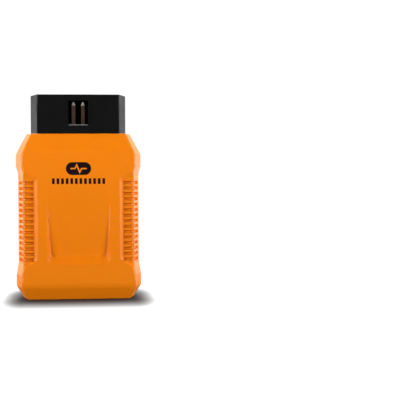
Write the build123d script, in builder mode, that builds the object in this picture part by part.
"""OBD code reader: a hand-sized diagnostic dongle with a 16-pin vehicle plug.

It stands on its flat foot with the plug pointing up (+Z). The front faces -Y,
X runs across the width, and the origin is under the middle of the foot.
All sizes are in millimetres.
"""
import os

from build123d import *

os.makedirs("parts", exist_ok=True)

# ---------------------------------------------------------------- housing
HOUSING_HEIGHT = 70.5
HALF_WIDTH = 26.8          # at the parting plane
HALF_DEPTH = 12.5
WALL = 1.8
FOOT_HALF_WIDTH = 23.4
FOOT_BEVEL_Z = 5.4
SHOULDER_Z = 61.8
TOP_HALF_WIDTH = 22.2
WAIST_HALF_WIDTH = 25.9
WAIST_LOW = (10.4, 15.5)   # the side steps in between these two heights
WAIST_HIGH = (53.5, 56.5)  # and out again between these
FRONT_SIDE_SLOPE = 0.24    # width lost per millimetre of depth, on each side
REAR_SIDE_SLOPE = 0.08
TOP_FACET_Z = 63.0
TOP_FACET_DEPTH = 9.7      # from the parting plane to the face, at the top edge
FOOT_FACET_Z = 5.9
FOOT_FACET_DEPTH = 9.0
CROWN_RADIUS = 450.0       # the big faces bulge slightly across the width
OUTLINE_RADIUS = 2.0
FACET_RADIUS = 6.0
RIM_RADIUS = 1.0
CAVITY_TOP_Z = 67.5
SEAM_CHAMFER = 0.2
BEYOND = 4.0               # how far cutting tools reach past what they cut
CLEAR = 1.0                # a smaller reach, where a neighbour is close
FLUSH = 0.01               # selectors treat anything nearer than this as touching
POST_ROOT = 0.4            # how far the screw posts run into the wall behind the face

# tongue and groove along the parting plane
TONGUE_OUTSET = 0.95       # from the outer skin to the tongue
TONGUE_HEIGHT = 1.0
TONGUE_GAP = 0.08

# ------------------------------------------------------------- side grips
GRIP_INNER_X = 16.9
GRIP_FLOOR_X = 18.6
GRIP_FLOOR_DEPTH = 10.9    # of the recess floor, from the parting plane
GRIP_EDGE_Z = (16.8, 53.1)
GRIP_FLOOR_Z = (17.0, 50.3)
GRIP_EDGE_RISE = (-0.64, 0.38)   # slope of the recess's lower and upper edges
GRIP_FLOOR_RISE = (-0.46, 0.38)
GRIP_CORNER = 2.0
GRIP_SIDE_CORNER = 0.5
GROOVE_COUNT = 15
GROOVE_PITCH = 2.32
GROOVE_TOP_Z = 49.6
GROOVE_HEIGHT = 1.3
GROOVE_DEPTH = 1.1
GROOVE_CORNER = 0.4
GROOVE_INNER_X = 18.95
GROOVE_END_DEPTH = 2.4
GRIP_BACKING_X = 19.9      # inner face of the wall behind the grips
GRIP_BACKING_Z = (12.8, 55.2)

# ----------------------------------------------------------- thumb recess
THUMB_HALF_WIDTH = 13.4
THUMB_FLOOR_HALF_WIDTH = 11.9
THUMB_TOP_Z = 43.0
THUMB_BOTTOM_Z = 15.1
THUMB_FLOOR_BOTTOM_Z = 18.4
THUMB_DEPTH = 2.4
THUMB_CORNER = 2.0
THUMB_FLOOR_RADIUS = 1.0   # where the recess's floor meets its walls
THUMB_BACKING = (15.4, 12.9, 45.0)  # half width, lower and upper heights

# -------------------------------------------- front emblem, an inlaid mark
EMBLEM_Z = 55.6
EMBLEM_WIDTH = 10.6
EMBLEM_HEIGHT = 5.4
EMBLEM_LINE = 0.6
EMBLEM_PULSE = [(-3.4, 0), (-1.5, 0), (-0.7, 1.5), (0.5, -1.6), (1.3, 0), (3.4, 0)]
SCALE_Z = 50.3
SCALE_BARS = 12
SCALE_PITCH = 1.92
SCALE_BAR = (1.1, 2.4)
INLAY_DEPTH = 0.2

# ------------------------------------------------------------- rear label
LABEL_HALF_WIDTH = 15.0
LABEL_Z = (19.0, 53.0)
LABEL_CORNER = 1.5
LABEL_RECESS = 0.35
LABEL_THICKNESS = 0.2
LABEL_GAP = 0.2

# ------------------------------------------------------------------- plug
PLUG_TOP_Z = 87.1
PLUG_BOTTOM_Z = 64.4
PLUG_HALF_DEPTH = 8.2
PLUG_FRONT_HALF_WIDTH = 17.4
PLUG_REAR_HALF_WIDTH = 20.4
PLUG_STRAIGHT_Y = 2.5      # behind this depth the sides run straight back
PLUG_WALL = 1.6
PLUG_CORNER = 0.7
PLUG_FIT = 0.12            # clearance to the covers round the plug
FLANGE_OUTSET = 0.6
FLANGE_Z = (65.4, 67.4)
FLANGE_SHELF_Y = 8.35       # the covers' shelves hold the flange from below
FLANGE_SHELF_REACH = 2.4
FLANGE_SHELF_HEIGHT = 1.5
FLANGE_SHELF_HALF_LENGTH = 12.0
SOCKET_FLOOR_Z = 72.6
RETAINER_Z = (64.7, 68.4)
WINDOW_HALF_WIDTH = 4.2
WINDOW_Z = (74.3, 84.6)
KEY_STRIP_HALF_WIDTH = 5.45
KEY_STRIP_BOTTOM_Z = 71.7
KEY_STRIP_DEPTH = 0.25
TONGUE_HALF_LENGTH = 14.0  # low rib on the plug's floor, between the rows
TONGUE_HALF_THICKNESS = 0.7
TONGUE_TOP_Z = 76.0

# ------------------------------------------------------------------- pins
PIN_PITCH = 4.0
PINS_PER_ROW = 8
ROW_Y = 4.1                # each row's distance from the middle
PIN_WIDTH = 1.6
PIN_THICKNESS = 0.8
PIN_TOP_Z = 84.3
PIN_TAPER = 1.8
PIN_TIP_WIDTH = 0.5
PIN_TAIL_WIDTH = 0.9
PIN_SHOULDER_Z = 64.0
PIN_TAIL_Z = 60.2
PIN_CLEARANCE = 0.04

# ----------------------------------------------------------------- boards
BOARD_THICKNESS = 1.6
BOARD_FRONT_Y = 0.0
BOARD_REAR_Y = BOARD_FRONT_Y + BOARD_THICKNESS
BOARD_Z = (6.5, 59.4)
BOARD_WAIST_Z = (12.9, 53.6)
BOARD_HALF_WIDTH = 19.0
BOARD_NECK_HALF_WIDTH = 15.6
PLUG_BOARD_Z = (61.4, 63.0)
PLUG_BOARD_HALF_WIDTH = 17.0
PLUG_BOARD_HALF_DEPTH = 7.0
PLUG_BOARD_CORNER = 1.0
HEADER_WAYS = 10
HEADER_PITCH = 2.54
HEADER_WIRE = 0.64
HEADER_Y = -1.5
HEADER_Z = 56.8
HEADER_TOP_Z = 64.0
HEADER_TAIL_Y = 2.7
HOLE_CLEARANCE = 0.05

STRIP_Z = (58.0, 60.4)     # the header's plastic strip

# ------------------------------------------------------- board components
CHIP_LIFT = 0.1
LEAD_GAUGE = 0.15
LEAD_REACH = 1.0
FINE_LEAD_WIDTH = 0.3
FINE_LEAD_PITCH = 0.75
WIDE_LEAD_WIDTH = 0.42
WIDE_LEAD_PITCH = 1.27
MICROCONTROLLER_SIZE = (10.0, 10.0, 1.4)
MICROCONTROLLER_AT = (0.0, 32.0)
MICROCONTROLLER_LEADS = 12  # on each of its four sides
SMALL_CHIP_SIZE = (3.9, 4.9, 1.5)
SMALL_CHIP_LEADS = 4       # on each of two sides
LONG_CHIP_SIZE = (8.7, 3.9, 1.5)
LONG_CHIP_LEADS = 7
CAN_TRANSCEIVER_AT = (-8.5, 46.5)
LINE_DRIVER_AT = (7.0, 46.5)
FLASH_MEMORY_AT = (-8.0, 42.0)
REGULATOR_SIZE = (6.5, 5.4, 2.0)
REGULATOR_AT = (13.2, 36.4)
TAB_THICKNESS = 0.5
REGULATOR_TAB_SIZE = (5.4, 7.6, TAB_THICKNESS)
REGULATOR_TAB_AT = (13.2, 37.5)
INDUCTOR_SIZE = (6.0, 6.0, 3.0)
INDUCTOR_AT = (13.2, 27.6)
INDUCTOR_CORNER = 0.8
FUSE_SIZE = (4.5, 3.2, 0.9)
FUSE_AT = (-13.0, 22.5)
SURGE_DIODE_SIZE = (4.3, 3.6, 2.2)
SURGE_DIODE_AT = (13.0, 21.0)
CHIP_CAPACITOR_SIZE = (1.6, 0.8, 0.8)
CHIP_RESISTOR_SIZE = (1.6, 0.8, 0.45)
CHIP_CAPACITOR_POINTS = [(x, z) for x in (-8.2, 8.2) for z in (27.0, 32.0, 37.0)]
CHIP_RESISTOR_POINTS = [(x, z) for x in (-8.2, 8.2) for z in (24.5, 29.5, 34.5, 39.5)]
CRYSTAL_SIZE = (11.0, 4.6, 3.4)
CRYSTAL_AT = (0.0, 20.5)
CRYSTAL_CORNER = 0.6
CAPACITOR_POINTS = [(-14.0, 37.4), (-14.0, 29.6)]
CAPACITOR_RADIUS = 3.1
CAPACITOR_BASE_HALF = 3.3
CAPACITOR_BASE = 0.8
CAPACITOR_HEIGHT = 4.9
RADIO_BOARD_WIDTH = 13.0
RADIO_BOARD_Z = (8.0, 31.0)
RADIO_BOARD_THICKNESS = 0.8
SHIELD_WIDTH = 11.4
SHIELD_Z = (15.4, 29.6)
SHIELD_HEIGHT = 1.8
SHIELD_CORNER = 0.8
ANTENNA_WIDTH = 10.0
ANTENNA_BOTTOM_Z = 9.2
ANTENNA_PITCH = 1.2
ANTENNA_TURNS = 4
ANTENNA_TRACE_WIDTH = 0.5
ANTENNA_THICKNESS = 0.1

# ----------------------------------------------------------------- screws
CASE_SCREW_X = 19.3
CASE_SCREW_Z = (8.8, 57.6)
CASE_BOSS_RADIUS = 3.0
CASE_SEAT_Y = 8.8          # where the screw heads bear
CASE_HEAD_RADIUS = 1.95
CASE_HEAD_HEIGHT = 1.4
CASE_SHANK_RADIUS = 1.1
CASE_SCREW_LENGTH = 14.0
COUNTERBORE_RADIUS = 2.3
BOARD_SCREW_X = 16.0
BOARD_SCREW_Z = 48.6
BOARD_BOSS_RADIUS = 2.1
BOARD_HEAD_RADIUS = 1.7
BOARD_HEAD_HEIGHT = 1.2
BOARD_SHANK_RADIUS = 0.9
BOARD_SCREW_LENGTH = 6.5
PEG_X = 14.0
PEG_Z = 15.4
PEG_RADIUS = 1.0
PEG_HEIGHT = 1.3
PILOT_GAP = 0.03           # play between a shank and its hole
SLOT_WIDTH = 0.5           # of the cross recess in a head
SLOT_SHARE = 0.6           # the cross recess's length, as a share of the head's width

# ------------------------------------------------------- derived positions
CASE_SCREW_POINTS = [(side * CASE_SCREW_X, z) for side in (-1, 1) for z in CASE_SCREW_Z]
BOARD_SCREW_POINTS = [(side * BOARD_SCREW_X, BOARD_SCREW_Z) for side in (-1, 1)]
PEG_POINTS = [(side * PEG_X, PEG_Z) for side in (-1, 1)]
GROOVE_LEVELS = [GROOVE_TOP_Z - index * GROOVE_PITCH for index in range(GROOVE_COUNT)]


def facing(y, outward=-1):
    """A plane at depth y whose sketch X is +X and sketch Y is +Z; it extrudes towards -Y or +Y."""
    if outward < 0:
        return Plane.XZ.offset(-y)
    return Plane(origin=(0, y, 0), x_dir=(-1, 0, 0), z_dir=(0, 1, 0))


def export(piece, name):
    """Label a finished piece and write it as its own STEP file."""
    piece.part.label = name
    export_step(piece.part, f"parts/{name}.step")


# ---------------------------------------------------------------- housing
def side_outline(depth, slope):
    """The housing's outline seen from the front, at a depth; it runs on past the top and the foot."""
    foot_lean = (HALF_WIDTH - FOOT_HALF_WIDTH) / FOOT_BEVEL_Z
    top_lean = (HALF_WIDTH - TOP_HALF_WIDTH) / (HOUSING_HEIGHT - SHOULDER_Z)
    right = [
        (FOOT_HALF_WIDTH - foot_lean * BEYOND, -BEYOND),
        (HALF_WIDTH, FOOT_BEVEL_Z),
        (HALF_WIDTH, WAIST_LOW[0]),
        (WAIST_HALF_WIDTH, WAIST_LOW[1]),
        (WAIST_HALF_WIDTH, WAIST_HIGH[0]),
        (HALF_WIDTH, WAIST_HIGH[1]),
        (HALF_WIDTH, SHOULDER_Z),
        (TOP_HALF_WIDTH - top_lean * BEYOND, HOUSING_HEIGHT + BEYOND),
    ]
    right = [(x - slope * depth, z) for x, z in right]
    return right + [(-x, z) for x, z in reversed(right)]


def face_profile():
    """The front half seen from the side: foot, foot bevel, flat face, top facet and top."""
    centre_y = CROWN_RADIUS - HALF_DEPTH
    return [
        (centre_y, HOUSING_HEIGHT),
        (-TOP_FACET_DEPTH, HOUSING_HEIGHT),
        (-HALF_DEPTH, TOP_FACET_Z),
        (-HALF_DEPTH, FOOT_FACET_Z),
        (-FOOT_FACET_DEPTH, 0),
        (centre_y, 0),
    ]


def half_body(slope, inset=0.0):
    """The front half of the housing as a solid, or its inside at a wall thickness."""
    with BuildPart() as body:
        for depth in (0, HALF_DEPTH + BEYOND):
            with BuildSketch(facing(-depth)):
                with BuildLine():
                    Polyline(*side_outline(depth, slope), close=True)
                make_face()
                if inset:
                    offset(amount=-inset, kind=Kind.INTERSECTION)
                fillet(vertices(), OUTLINE_RADIUS)
        loft(ruled=True)
        with BuildSketch(Plane.YZ) as face:
            with BuildLine():
                Polyline(*face_profile(), close=True)
            make_face()
            if inset:
                offset(amount=-inset, kind=Kind.INTERSECTION)
            fillet(face.vertices().group_by(Axis.X)[0], FACET_RADIUS)
        crown_axis = Axis((0, CROWN_RADIUS - HALF_DEPTH, 0), (0, 0, 1))
        revolve(axis=crown_axis, mode=Mode.INTERSECT)
    return body.part


def rim_edges(body):
    """The edges round a half body's face, top and foot, without the seam and the facets' bends."""
    def on_rim(edge):
        box = edge.bounding_box()
        level = box.size.Z < FLUSH
        on_end = level and (box.max.Z < FLUSH or box.min.Z > HOUSING_HEIGHT - FLUSH)
        on_face = box.max.Y < -FOOT_FACET_DEPTH / 2 - BEYOND and not level
        return box.min.Y < -FLUSH and (on_end or on_face)
    return body.edges().filter_by(on_rim)


def grip_recess(side):
    """Cutter for the recess that wraps the front corner: it flares from its floor to the face."""
    width = HALF_WIDTH + BEYOND - GRIP_INNER_X
    face_points, floor_points = [
        [
            (inner_x, levels[0]),
            (inner_x, levels[1]),
            (inner_x + width, levels[1] + rises[1] * width),
            (inner_x + width, levels[0] + rises[0] * width),
        ]
        for inner_x, levels, rises in (
            (GRIP_INNER_X, GRIP_EDGE_Z, GRIP_EDGE_RISE),
            (GRIP_FLOOR_X, GRIP_FLOOR_Z, GRIP_FLOOR_RISE),
        )
    ]
    with BuildPart() as cutter:
        for depth, points in ((HALF_DEPTH, face_points), (GRIP_FLOOR_DEPTH, floor_points)):
            with BuildSketch(facing(-depth)) as outline:
                with BuildLine():
                    Polyline(*[(side * x, z) for x, z in points], close=True)
                make_face()
                inner = outline.vertices().sort_by(Axis.X)
                fillet(inner[:2] if side > 0 else inner[-2:], GRIP_CORNER)
        loft(ruled=True)
        with BuildSketch(facing(-HALF_DEPTH)):
            with BuildLine():
                Polyline(*[(side * x, z) for x, z in face_points], close=True)
            make_face()
        extrude(amount=BEYOND)
    return cutter.part


def grip_grooves(side, slope):
    """Cutters for the level grooves that run over the grip's floor and round onto the side."""
    end_x = WAIST_HALF_WIDTH - slope * GROOVE_END_DEPTH - GROOVE_DEPTH
    floor_depth = GRIP_FLOOR_DEPTH - GROOVE_DEPTH
    corner_x = WAIST_HALF_WIDTH - slope * floor_depth - GROOVE_DEPTH
    reach_x = HALF_WIDTH + BEYOND
    reach_depth = HALF_DEPTH + BEYOND
    with BuildPart() as cutters:
        for level in GROOVE_LEVELS:
            with BuildSketch(Plane.XY.offset(level - GROOVE_HEIGHT / 2)) as section:
                with BuildLine():
                    Polyline(
                        (side * GROOVE_INNER_X, -reach_depth),
                        (side * GROOVE_INNER_X, -floor_depth),
                        (side * corner_x, -floor_depth),
                        (side * end_x, -GROOVE_END_DEPTH),
                        (side * reach_x, -GROOVE_END_DEPTH),
                        (side * reach_x, -reach_depth),
                        close=True,
                    )
                make_face()
                corners = section.vertices().filter_by_position(Axis.Y, -floor_depth - FLUSH, -CLEAR)
                fillet([v for v in corners if abs(v.X) < reach_x - CLEAR], GROOVE_CORNER)
            extrude(amount=GROOVE_HEIGHT)
    return cutters.part


def grip_corner_edges(body):
    """The upright edges where a grip's floor turns onto the housing's side."""
    def on_corner(edge):
        middle = edge.center()
        upright = edge.bounding_box().size.Z > GROOVE_COUNT * GROOVE_PITCH / 2
        on_floor = abs(middle.Y + GRIP_FLOOR_DEPTH) < FLUSH
        return upright and on_floor and abs(middle.X) > GRIP_FLOOR_X + CLEAR
    return body.edges().filter_by(on_corner)


def cover_skin(slope):
    """The outer form of a cover as a solid half, facing -Y, with its ribbed grips."""
    with BuildPart() as skin:
        add(half_body(slope))
        fillet(rim_edges(skin), RIM_RADIUS)
        for side in (-1, 1):
            add(grip_recess(side), mode=Mode.SUBTRACT)
        fillet(grip_corner_edges(skin), GRIP_SIDE_CORNER)
        for side in (-1, 1):
            add(grip_grooves(side, slope), mode=Mode.SUBTRACT)
    return skin.part


def cavity(slope, backings):
    """The space inside a cover; the backings stay solid behind its recesses."""
    with BuildPart() as space:
        add(half_body(slope, WALL))
        for half_width, low, high, depth in backings:
            with BuildSketch(facing(-depth)):
                with Locations((0, (low + high) / 2)):
                    Rectangle(2 * half_width, high - low)
            extrude(amount=HALF_DEPTH, mode=Mode.SUBTRACT)
        behind_floor = GRIP_FLOOR_DEPTH - GROOVE_DEPTH - WALL
        for inner_x, depth in ((GRIP_BACKING_X, 0), (GRIP_INNER_X - WALL / 2, behind_floor)):
            with BuildSketch(facing(-depth)):
                for side in (-1, 1):
                    with Locations((side * (inner_x + HALF_WIDTH / 2), sum(GRIP_BACKING_Z) / 2)):
                        Rectangle(HALF_WIDTH, GRIP_BACKING_Z[1] - GRIP_BACKING_Z[0])
            extrude(amount=HALF_DEPTH, mode=Mode.SUBTRACT)
        split(bisect_by=Plane.XY.offset(CAVITY_TOP_Z), keep=Keep.BOTTOM)
    return space.part


def seam_ring(near, far, height):
    """A band along the parting plane between two distances from the skin, standing towards +Y."""
    with BuildPart() as ring:
        with BuildSketch(facing(0, outward=1)):
            for distance, mode in ((near, Mode.ADD), (far, Mode.SUBTRACT)):
                with BuildSketch(Plane.XY, mode=mode):
                    with BuildLine():
                        Polyline(*side_outline(0, 0), close=True)
                    make_face()
                    Rectangle(
                        4 * HALF_WIDTH, HOUSING_HEIGHT,
                        align=(Align.CENTER, Align.MIN), mode=Mode.INTERSECT,
                    )
                    offset(amount=-distance, kind=Kind.INTERSECTION)
        extrude(amount=height)
        split(bisect_by=Plane.XY.offset(CAVITY_TOP_Z - WALL), keep=Keep.BOTTOM)
    return ring.part


def plug_outline(outset=0.0):
    """The plug's outline seen from above: narrow in front, straight-sided at the rear."""
    with BuildSketch(mode=Mode.PRIVATE) as outline:
        with BuildLine():
            Polyline(
                (-PLUG_FRONT_HALF_WIDTH, -PLUG_HALF_DEPTH),
                (PLUG_FRONT_HALF_WIDTH, -PLUG_HALF_DEPTH),
                (PLUG_REAR_HALF_WIDTH, PLUG_STRAIGHT_Y),
                (PLUG_REAR_HALF_WIDTH, PLUG_HALF_DEPTH),
                (-PLUG_REAR_HALF_WIDTH, PLUG_HALF_DEPTH),
                (-PLUG_REAR_HALF_WIDTH, PLUG_STRAIGHT_Y),
                close=True,
            )
        make_face()
        fillet(outline.vertices(), PLUG_CORNER)
        if outset:
            offset(amount=outset, kind=Kind.ARC)
    return outline.sketch


def column(low, high, outset=0.0):
    """A straight column with the plug's outline between two heights."""
    with BuildPart() as post:
        with BuildSketch(Plane.XY.offset(low)):
            add(plug_outline(outset))
        extrude(amount=high - low)
    return post.part


def thumb_recess():
    """Cutter for the wedge-shaped thumb recess: flush at its top, deepest above its lower wall."""
    side_run = (THUMB_HALF_WIDTH - THUMB_FLOOR_HALF_WIDTH) / THUMB_DEPTH
    foot_run = (THUMB_FLOOR_BOTTOM_Z - THUMB_BOTTOM_Z) / THUMB_DEPTH
    top = THUMB_TOP_Z + BEYOND
    with BuildPart() as cutter:
        for sunk in (-THUMB_DEPTH, THUMB_DEPTH):
            half_width = THUMB_HALF_WIDTH - side_run * sunk
            bottom = THUMB_BOTTOM_Z + foot_run * sunk
            with BuildSketch(facing(sunk - HALF_DEPTH)) as outline:
                with Locations((0, (bottom + top) / 2)):
                    Rectangle(2 * half_width, top - bottom)
                fillet(outline.vertices().group_by(Axis.Z)[0], THUMB_CORNER)
        loft(ruled=True)
        with BuildSketch(Plane.YZ):
            with BuildLine():
                Polyline(
                    (-HALF_DEPTH, THUMB_TOP_Z),
                    (THUMB_DEPTH - HALF_DEPTH, THUMB_FLOOR_BOTTOM_Z),
                    (THUMB_DEPTH - HALF_DEPTH, THUMB_BOTTOM_Z - BEYOND),
                    (-HALF_DEPTH - BEYOND, THUMB_BOTTOM_Z - BEYOND),
                    (-HALF_DEPTH - BEYOND, THUMB_TOP_Z),
                    close=True,
                )
            make_face()
        extrude(amount=HALF_WIDTH, both=True, mode=Mode.INTERSECT)
        floor = cutter.faces().sort_by(Axis.Y)[-1]
        fillet(floor.edges().sort_by(Axis.Z)[:-1], THUMB_FLOOR_RADIUS)
    return cutter.part


def emblem_blank():
    """A pill with a pulse line cut through it, over a row of plain bars, as a deep cutter."""
    with BuildPart() as blank:
        with BuildSketch(facing(INLAY_DEPTH - HALF_DEPTH)):
            with Locations((0, EMBLEM_Z)):
                SlotOverall(EMBLEM_WIDTH, EMBLEM_HEIGHT)
            with BuildLine():
                Polyline(*[(x, z + EMBLEM_Z) for x, z in EMBLEM_PULSE])
            trace(line_width=EMBLEM_LINE, mode=Mode.SUBTRACT)
            with Locations((0, SCALE_Z)):
                with GridLocations(SCALE_PITCH, 0, SCALE_BARS, 1):
                    Rectangle(*SCALE_BAR)
        extrude(amount=BEYOND)
    return blank.part


def seam_edges(body):
    """The outer edges of a cover that lie on the parting plane."""
    def on_seam(edge):
        box = edge.bounding_box()
        flat = box.size.Y < FLUSH and abs(box.min.Y) < FLUSH
        outside = max(box.max.X, -box.min.X) > PLUG_REAR_HALF_WIDTH + CLEAR
        return flat and (outside or box.max.Z < FLUSH)
    return body.edges().filter_by(on_seam)


# Each cover starts as its outer form; the cavity is cut out, then posts are added and drilled.
flange_pocket = column(FLANGE_Z[0] - PLUG_FIT, FLANGE_Z[1] + PLUG_FIT, FLANGE_OUTSET + PLUG_FIT)

with BuildPart() as front_cover:
    add(cover_skin(FRONT_SIDE_SLOPE))
    chamfer(seam_edges(front_cover), SEAM_CHAMFER)
    thumb_backing = (*THUMB_BACKING, HALF_DEPTH - THUMB_DEPTH - WALL)
    add(cavity(FRONT_SIDE_SLOPE, [thumb_backing]), mode=Mode.SUBTRACT)
    add(thumb_recess(), mode=Mode.SUBTRACT)
    add(emblem_blank(), mode=Mode.SUBTRACT)
    add(seam_ring(TONGUE_OUTSET, WALL, TONGUE_HEIGHT))
    with BuildSketch(facing(0)):
        with Locations(*CASE_SCREW_POINTS):
            Circle(CASE_BOSS_RADIUS)
        with Locations(*BOARD_SCREW_POINTS, *PEG_POINTS):
            Circle(BOARD_BOSS_RADIUS)
    extrude(amount=HALF_DEPTH - WALL + POST_ROOT)
    with BuildSketch(facing(0, outward=1)):
        with Locations(*PEG_POINTS):
            Circle(PEG_RADIUS)
    extrude(amount=PEG_HEIGHT)
    with BuildSketch(facing(0)):
        with Locations(*CASE_SCREW_POINTS):
            Circle(CASE_SHANK_RADIUS + PILOT_GAP)
        with Locations(*BOARD_SCREW_POINTS):
            Circle(BOARD_SHANK_RADIUS + PILOT_GAP)
    extrude(amount=CASE_SCREW_LENGTH - CASE_SEAT_Y + CLEAR, mode=Mode.SUBTRACT)
    with Locations((0, -FLANGE_SHELF_Y, FLANGE_Z[0] - FLANGE_SHELF_HEIGHT)):
        Box(2 * FLANGE_SHELF_HALF_LENGTH, FLANGE_SHELF_REACH, FLANGE_SHELF_HEIGHT,
            align=(Align.CENTER, Align.MAX, Align.MIN))
    add(column(PLUG_BOTTOM_Z - CLEAR, PLUG_TOP_Z, PLUG_FIT), mode=Mode.SUBTRACT)
    add(flange_pocket, mode=Mode.SUBTRACT)
export(front_cover, "front_cover")

with BuildPart() as rear_cover:
    add(mirror(cover_skin(REAR_SIDE_SLOPE), about=Plane.XZ, mode=Mode.PRIVATE))
    chamfer(seam_edges(rear_cover), SEAM_CHAMFER)
    add(mirror(cavity(REAR_SIDE_SLOPE, []), about=Plane.XZ, mode=Mode.PRIVATE), mode=Mode.SUBTRACT)
    groove = seam_ring(TONGUE_OUTSET - TONGUE_GAP, WALL + TONGUE_GAP, TONGUE_HEIGHT + TONGUE_GAP)
    add(groove, mode=Mode.SUBTRACT)
    with BuildSketch(facing(0, outward=1)):
        with Locations(*CASE_SCREW_POINTS):
            Circle(CASE_BOSS_RADIUS)
    extrude(amount=HALF_DEPTH - WALL + POST_ROOT)
    with BuildSketch(facing(0, outward=1)):
        with Locations(*CASE_SCREW_POINTS):
            Circle(CASE_SHANK_RADIUS + PILOT_GAP)
    extrude(amount=CASE_SEAT_Y, mode=Mode.SUBTRACT)
    with BuildSketch(facing(CASE_SEAT_Y, outward=1)):
        with Locations(*CASE_SCREW_POINTS):
            Circle(COUNTERBORE_RADIUS)
    extrude(amount=HALF_DEPTH, mode=Mode.SUBTRACT)
    with BuildSketch(facing(HALF_DEPTH - LABEL_RECESS, outward=1)):
        with Locations((0, sum(LABEL_Z) / 2)):
            RectangleRounded(2 * LABEL_HALF_WIDTH, LABEL_Z[1] - LABEL_Z[0], LABEL_CORNER)
    extrude(amount=BEYOND, mode=Mode.SUBTRACT)
    with Locations((0, FLANGE_SHELF_Y, FLANGE_Z[0] - FLANGE_SHELF_HEIGHT)):
        Box(2 * FLANGE_SHELF_HALF_LENGTH, FLANGE_SHELF_REACH, FLANGE_SHELF_HEIGHT,
            align=(Align.CENTER, Align.MIN, Align.MIN))
    add(column(PLUG_BOTTOM_Z - CLEAR, PLUG_TOP_Z, PLUG_FIT), mode=Mode.SUBTRACT)
    add(flange_pocket, mode=Mode.SUBTRACT)
export(rear_cover, "rear_cover")

with BuildPart() as front_emblem:
    add(emblem_blank())
    add(half_body(FRONT_SIDE_SLOPE), mode=Mode.INTERSECT)
export(front_emblem, "front_emblem")

with BuildPart() as rear_label:
    with BuildSketch(facing(HALF_DEPTH - LABEL_RECESS, outward=1)):
        with Locations((0, sum(LABEL_Z) / 2)):
            RectangleRounded(
                2 * (LABEL_HALF_WIDTH - LABEL_GAP),
                LABEL_Z[1] - LABEL_Z[0] - 2 * LABEL_GAP,
                LABEL_CORNER - LABEL_GAP,
            )
    extrude(amount=LABEL_THICKNESS)
export(rear_label, "rear_label")


# ------------------------------------------------------------------ screws
def pan_screws(points, seat_y, head, shank):
    """Screws with pan heads and a cross recess, driven towards -Y from a seat at one depth."""
    head_radius, head_height = head
    shank_radius, length = shank
    with BuildPart() as screws:
        with BuildSketch(facing(seat_y, outward=1)):
            with Locations(*points):
                Circle(head_radius)
        extrude(amount=head_height)
        fillet(screws.faces().sort_by(Axis.Y)[-len(points):].edges(), head_height / 2)
        with BuildSketch(facing(seat_y)):
            with Locations(*points):
                Circle(shank_radius)
        extrude(amount=length)
        chamfer(screws.faces().sort_by(Axis.Y)[:len(points)].edges(), shank_radius / 2)
        with BuildSketch(facing(seat_y + head_height / 2, outward=1)):
            with Locations(*points):
                Rectangle(SLOT_SHARE * 2 * head_radius, SLOT_WIDTH)
                Rectangle(SLOT_WIDTH, SLOT_SHARE * 2 * head_radius)
        extrude(amount=head_height, mode=Mode.SUBTRACT)
    return screws


# The screws stand in mirrored pairs, so a rear-facing sketch plane, which turns X round, suits them.
case_screws = pan_screws(
    CASE_SCREW_POINTS,
    CASE_SEAT_Y,
    (CASE_HEAD_RADIUS, CASE_HEAD_HEIGHT),
    (CASE_SHANK_RADIUS, CASE_SCREW_LENGTH),
)
export(case_screws, "case_screws")

board_screws = pan_screws(
    BOARD_SCREW_POINTS,
    BOARD_REAR_Y,
    (BOARD_HEAD_RADIUS, BOARD_HEAD_HEIGHT),
    (BOARD_SHANK_RADIUS, BOARD_SCREW_LENGTH),
)
export(board_screws, "board_screws")


# -------------------------------------------------------------------- plug
def pin_slots(width, thickness, low, high):
    """Straight columns at all sixteen pin places, for cutting their slots."""
    with BuildPart() as slots:
        with BuildSketch(Plane.XY.offset(low)):
            with GridLocations(PIN_PITCH, 2 * ROW_Y, PINS_PER_ROW, 2):
                Rectangle(width, thickness)
        extrude(amount=high - low)
    return slots.part


BLADE_SLOT = (PIN_WIDTH + 2 * PIN_CLEARANCE, PIN_THICKNESS + 2 * PIN_CLEARANCE)
TAIL_SLOT = (PIN_TAIL_WIDTH + 2 * PIN_CLEARANCE, PIN_THICKNESS + 2 * PIN_CLEARANCE)

with BuildPart() as connector_shell:
    add(column(PLUG_BOTTOM_Z, PLUG_TOP_Z))
    chamfer(connector_shell.faces().sort_by(Axis.Z)[-1].edges(), SEAM_CHAMFER)
    add(column(*FLANGE_Z, FLANGE_OUTSET))
    add(column(SOCKET_FLOOR_Z, PLUG_TOP_Z + BEYOND, -PLUG_WALL), mode=Mode.SUBTRACT)
    add(column(PLUG_BOTTOM_Z - BEYOND, RETAINER_Z[1], -PLUG_WALL), mode=Mode.SUBTRACT)
    with BuildSketch(Plane.XY.offset(SOCKET_FLOOR_Z)):
        RectangleRounded(2 * TONGUE_HALF_LENGTH, 2 * TONGUE_HALF_THICKNESS, TONGUE_HALF_THICKNESS / 2)
    extrude(amount=TONGUE_TOP_Z - SOCKET_FLOOR_Z)
    add(pin_slots(*BLADE_SLOT, PLUG_BOTTOM_Z, PLUG_TOP_Z), mode=Mode.SUBTRACT)
    with BuildSketch(facing(-PLUG_HALF_DEPTH + 2 * PLUG_WALL)):
        with Locations((0, sum(WINDOW_Z) / 2)):
            RectangleRounded(2 * WINDOW_HALF_WIDTH, WINDOW_Z[1] - WINDOW_Z[0], SEAM_CHAMFER)
    extrude(amount=3 * PLUG_WALL, mode=Mode.SUBTRACT)
    with BuildSketch(facing(-PLUG_HALF_DEPTH + KEY_STRIP_DEPTH)):
        with Locations((0, KEY_STRIP_BOTTOM_Z)):
            Rectangle(2 * KEY_STRIP_HALF_WIDTH, PLUG_TOP_Z, align=(Align.CENTER, Align.MIN))
    extrude(amount=PLUG_WALL, mode=Mode.SUBTRACT)
export(connector_shell, "connector_shell")

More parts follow.
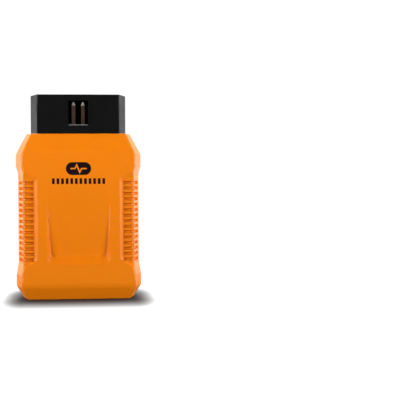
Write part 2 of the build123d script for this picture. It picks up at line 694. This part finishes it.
with BuildPart() as pin_retainer:
    add(column(*RETAINER_Z, -PLUG_WALL - PLUG_FIT))
    add(pin_slots(*BLADE_SLOT, RETAINER_Z[0], RETAINER_Z[1]), mode=Mode.SUBTRACT)
export(pin_retainer, "pin_retainer")


def pin_row(y):
    """One row of flat blades with tapered tips and narrow solder tails."""
    half_blade, half_tail, half_tip = PIN_WIDTH / 2, PIN_TAIL_WIDTH / 2, PIN_TIP_WIDTH / 2
    outline = [
        (half_tail, PIN_TAIL_Z),
        (half_tail, PIN_SHOULDER_Z),
        (half_blade, PIN_SHOULDER_Z),
        (half_blade, PIN_TOP_Z - PIN_TAPER),
        (half_tip, PIN_TOP_Z),
    ]
    outline += [(-x, z) for x, z in reversed(outline)]
    with BuildPart() as row:
        with BuildSketch(facing(y + PIN_THICKNESS / 2)):
            with GridLocations(PIN_PITCH, 0, PINS_PER_ROW, 1):
                Polygon(*outline, align=None)
        extrude(amount=PIN_THICKNESS)
        tips = row.faces().filter_by(Plane.XY).group_by(Axis.Z)[-1].edges().filter_by(Axis.X)
        chamfer(tips, PIN_THICKNESS / 3)
    return row


front_pins = pin_row(-ROW_Y)
export(front_pins, "front_pins")
rear_pins = pin_row(ROW_Y)
export(rear_pins, "rear_pins")


# ------------------------------------------------------------------ boards
with BuildPart() as plug_board:
    with BuildSketch(Plane.XY.offset(PLUG_BOARD_Z[0])):
        RectangleRounded(2 * PLUG_BOARD_HALF_WIDTH, 2 * PLUG_BOARD_HALF_DEPTH, PLUG_BOARD_CORNER)
        with Locations((0, HEADER_Y)):
            with GridLocations(HEADER_PITCH, 0, HEADER_WAYS, 1):
                Rectangle(*[HEADER_WIRE + 2 * HOLE_CLEARANCE] * 2, mode=Mode.SUBTRACT)
    extrude(amount=BOARD_THICKNESS)
    add(pin_slots(*TAIL_SLOT, *PLUG_BOARD_Z), mode=Mode.SUBTRACT)
export(plug_board, "plug_board")

with BuildPart() as header_pins:
    half_wire = HEADER_WIRE / 2
    bent_wire = [
        (HEADER_Y - half_wire, HEADER_TOP_Z),
        (HEADER_Y - half_wire, HEADER_Z - half_wire),
        (HEADER_TAIL_Y, HEADER_Z - half_wire),
        (HEADER_TAIL_Y, HEADER_Z + half_wire),
        (HEADER_Y + half_wire, HEADER_Z + half_wire),
        (HEADER_Y + half_wire, HEADER_TOP_Z),
    ]
    for way in range(HEADER_WAYS):
        middle_x = (way - (HEADER_WAYS - 1) / 2) * HEADER_PITCH
        with BuildSketch(Plane.YZ.offset(middle_x - half_wire)):
            Polygon(*bent_wire, align=None)
        extrude(amount=HEADER_WIRE)
export(header_pins, "header_pins")

with BuildPart() as header_strip:
    with BuildSketch(Plane.XY.offset(STRIP_Z[0])):
        with Locations((0, HEADER_Y)):
            Rectangle(HEADER_WAYS * HEADER_PITCH, HEADER_PITCH)
            with GridLocations(HEADER_PITCH, 0, HEADER_WAYS, 1):
                Rectangle(*[HEADER_WIRE + 2 * PIN_CLEARANCE] * 2, mode=Mode.SUBTRACT)
    extrude(amount=STRIP_Z[1] - STRIP_Z[0])
    chamfer(header_strip.edges().filter_by(Axis.Z).group_by(Axis.X)[0], SEAM_CHAMFER)
    chamfer(header_strip.edges().filter_by(Axis.Z).group_by(Axis.X)[-1], SEAM_CHAMFER)
export(header_strip, "header_strip")

with BuildPart() as main_board:
    with BuildSketch(facing(BOARD_REAR_Y)):
        with Locations((0, sum(BOARD_Z) / 2)):
            Rectangle(2 * BOARD_NECK_HALF_WIDTH, BOARD_Z[1] - BOARD_Z[0])
        with Locations((0, sum(BOARD_WAIST_Z) / 2)):
            Rectangle(2 * BOARD_HALF_WIDTH, BOARD_WAIST_Z[1] - BOARD_WAIST_Z[0])
        with Locations(*BOARD_SCREW_POINTS):
            Circle(BOARD_SHANK_RADIUS + PILOT_GAP, mode=Mode.SUBTRACT)
        with Locations(*PEG_POINTS):
            Circle(PEG_RADIUS + PILOT_GAP, mode=Mode.SUBTRACT)
        with Locations((0, HEADER_Z)):
            with GridLocations(HEADER_PITCH, 0, HEADER_WAYS, 1):
                Rectangle(*[HEADER_WIRE + 2 * HOLE_CLEARANCE] * 2, mode=Mode.SUBTRACT)
    extrude(amount=BOARD_THICKNESS)
export(main_board, "main_board")


# -------------------------------------------------------------- components
# A component is placed on the board by its middle (x, z); a size is (width, height, thickness).
def board_face(rear=False):
    """The board's front or rear face as a sketch plane that extrudes away from the board."""
    return facing(BOARD_REAR_Y, outward=1) if rear else facing(BOARD_FRONT_Y)


def seen_from(rear, points):
    """Places on the rear face are measured the same way, so their sketch X is turned round."""
    return [(-x, z) for x, z in points] if rear else list(points)


def blocks(size, points, rear=False, lift=0.0, corner=0.1):
    """Plain moulded bodies with softened edges, all alike, standing on the board."""
    width, height, thickness = size
    with BuildPart() as bodies:
        with BuildSketch(board_face(rear).offset(lift)):
            with Locations(*seen_from(rear, points)):
                RectangleRounded(width, height, corner)
        extrude(amount=thickness)
        outer = bodies.faces().sort_by(Axis.Y)
        chamfer((outer[-len(points):] if rear else outer[:len(points)]).edges(), corner)
    return bodies


def gull_wing(body_half, root_height):
    """A lead's outline: x runs out from the chip's middle and y up from the board."""
    foot = body_half + LEAD_REACH
    knee = body_half + LEAD_REACH / 3
    return [
        (body_half, root_height),
        (knee, root_height),
        (knee + LEAD_GAUGE, LEAD_GAUGE),
        (foot, LEAD_GAUGE),
        (foot, 0),
        (knee, 0),
        (knee - LEAD_GAUGE, root_height - LEAD_GAUGE),
        (body_half, root_height - LEAD_GAUGE),
    ]


def leads(chip, angles, count, pitch, rear=False):
    """Rows of gull-wing leads along the sides of a chip given by its middle, size and lead width."""
    (x, z), (width, height, thickness), lead_width = chip
    normal = Vector(0, 1 if rear else -1, 0)
    origin = Vector(x, BOARD_REAR_Y if rear else BOARD_FRONT_Y, z)
    with BuildPart() as rows:
        for angle in angles:
            outward = Vector(1, 0, 0).rotate(Axis.Y, angle)
            body_half = (width if angle % 180 == 0 else height) / 2
            plane = Plane(origin=origin, x_dir=outward, z_dir=outward.cross(normal))
            for index in range(count):
                along = (index - (count - 1) / 2) * pitch - lead_width / 2
                with BuildSketch(plane.offset(along)):
                    Polygon(*gull_wing(body_half, thickness / 2 + CHIP_LIFT), align=None)
                extrude(amount=lead_width)
    return rows


SIDEWAYS = (0, 180)
UPRIGHT = (90, 270)
microcontroller = blocks(MICROCONTROLLER_SIZE, [MICROCONTROLLER_AT], lift=CHIP_LIFT)
export(microcontroller, "microcontroller")
microcontroller_leads = leads(
    (MICROCONTROLLER_AT, MICROCONTROLLER_SIZE, FINE_LEAD_WIDTH),
    SIDEWAYS + UPRIGHT,
    MICROCONTROLLER_LEADS,
    FINE_LEAD_PITCH,
)
export(microcontroller_leads, "microcontroller_leads")

can_transceiver = blocks(SMALL_CHIP_SIZE, [CAN_TRANSCEIVER_AT], lift=CHIP_LIFT)
export(can_transceiver, "can_transceiver")
can_transceiver_leads = leads(
    (CAN_TRANSCEIVER_AT, SMALL_CHIP_SIZE, WIDE_LEAD_WIDTH),
    SIDEWAYS,
    SMALL_CHIP_LEADS,
    WIDE_LEAD_PITCH,
)
export(can_transceiver_leads, "can_transceiver_leads")

line_driver = blocks(LONG_CHIP_SIZE, [LINE_DRIVER_AT], lift=CHIP_LIFT)
export(line_driver, "line_driver")
line_driver_leads = leads(
    (LINE_DRIVER_AT, LONG_CHIP_SIZE, WIDE_LEAD_WIDTH),
    UPRIGHT,
    LONG_CHIP_LEADS,
    WIDE_LEAD_PITCH,
)
export(line_driver_leads, "line_driver_leads")

flash_memory = blocks(SMALL_CHIP_SIZE, [FLASH_MEMORY_AT], rear=True, lift=CHIP_LIFT)
export(flash_memory, "flash_memory")
flash_memory_leads = leads(
    (FLASH_MEMORY_AT, SMALL_CHIP_SIZE, WIDE_LEAD_WIDTH),
    SIDEWAYS,
    SMALL_CHIP_LEADS,
    WIDE_LEAD_PITCH,
    rear=True,
)
export(flash_memory_leads, "flash_memory_leads")

export(blocks(REGULATOR_SIZE, [REGULATOR_AT], lift=TAB_THICKNESS), "voltage_regulator")
regulator_tab = blocks(REGULATOR_TAB_SIZE, [REGULATOR_TAB_AT])
export(regulator_tab, "regulator_tab")
export(blocks(INDUCTOR_SIZE, [INDUCTOR_AT], corner=INDUCTOR_CORNER), "power_inductor")
export(blocks(FUSE_SIZE, [FUSE_AT]), "resettable_fuse")
export(blocks(SURGE_DIODE_SIZE, [SURGE_DIODE_AT]), "surge_diode")
export(blocks(CHIP_CAPACITOR_SIZE, CHIP_CAPACITOR_POINTS), "chip_capacitors")
export(blocks(CHIP_RESISTOR_SIZE, CHIP_RESISTOR_POINTS), "chip_resistors")

with BuildPart() as crystal:
    with BuildSketch(board_face()):
        with Locations(CRYSTAL_AT):
            SlotOverall(CRYSTAL_SIZE[0], CRYSTAL_SIZE[1])
    extrude(amount=CRYSTAL_SIZE[2])
    fillet(crystal.faces().sort_by(Axis.Y)[0].edges(), CRYSTAL_CORNER)
export(crystal, "crystal")

with BuildPart() as capacitor_bases:
    with BuildSketch(board_face()):
        with Locations(*CAPACITOR_POINTS):
            Rectangle(2 * CAPACITOR_BASE_HALF, 2 * CAPACITOR_BASE_HALF)
    extrude(amount=CAPACITOR_BASE)
    chamfer(capacitor_bases.edges().filter_by(Axis.Y).group_by(Axis.Z)[-1], CAPACITOR_BASE)
export(capacitor_bases, "capacitor_bases")

with BuildPart() as electrolytic_capacitors:
    with BuildSketch(board_face().offset(CAPACITOR_BASE)):
        with Locations(*CAPACITOR_POINTS):
            Circle(CAPACITOR_RADIUS)
    extrude(amount=CAPACITOR_HEIGHT)
    fillet(electrolytic_capacitors.faces().sort_by(Axis.Y)[:2].edges(), CAPACITOR_BASE / 2)
export(electrolytic_capacitors, "electrolytic_capacitors")

with BuildPart() as radio_board:
    with BuildSketch(board_face(rear=True)):
        with Locations((0, sum(RADIO_BOARD_Z) / 2)):
            Rectangle(RADIO_BOARD_WIDTH, RADIO_BOARD_Z[1] - RADIO_BOARD_Z[0])
    extrude(amount=RADIO_BOARD_THICKNESS)
export(radio_board, "radio_board")

with BuildPart() as radio_shield:
    with BuildSketch(board_face(rear=True).offset(RADIO_BOARD_THICKNESS)):
        with Locations((0, sum(SHIELD_Z) / 2)):
            RectangleRounded(SHIELD_WIDTH, SHIELD_Z[1] - SHIELD_Z[0], SHIELD_CORNER)
    extrude(amount=SHIELD_HEIGHT)
    fillet(radio_shield.faces().sort_by(Axis.Y)[-1].edges(), SHIELD_CORNER / 2)
export(radio_shield, "radio_shield")

with BuildPart() as antenna_trace:
    reach = ANTENNA_WIDTH / 2
    meander = [
        (reach if (step + turn) % 2 else -reach, ANTENNA_BOTTOM_Z + step * ANTENNA_PITCH)
        for step in range(ANTENNA_TURNS + 1)
        for turn in (0, 1)
    ]
    with BuildSketch(board_face(rear=True).offset(RADIO_BOARD_THICKNESS)):
        with BuildLine():
            Polyline(*meander)
        trace(line_width=ANTENNA_TRACE_WIDTH)
    extrude(amount=ANTENNA_THICKNESS)
export(antenna_trace, "antenna_trace")
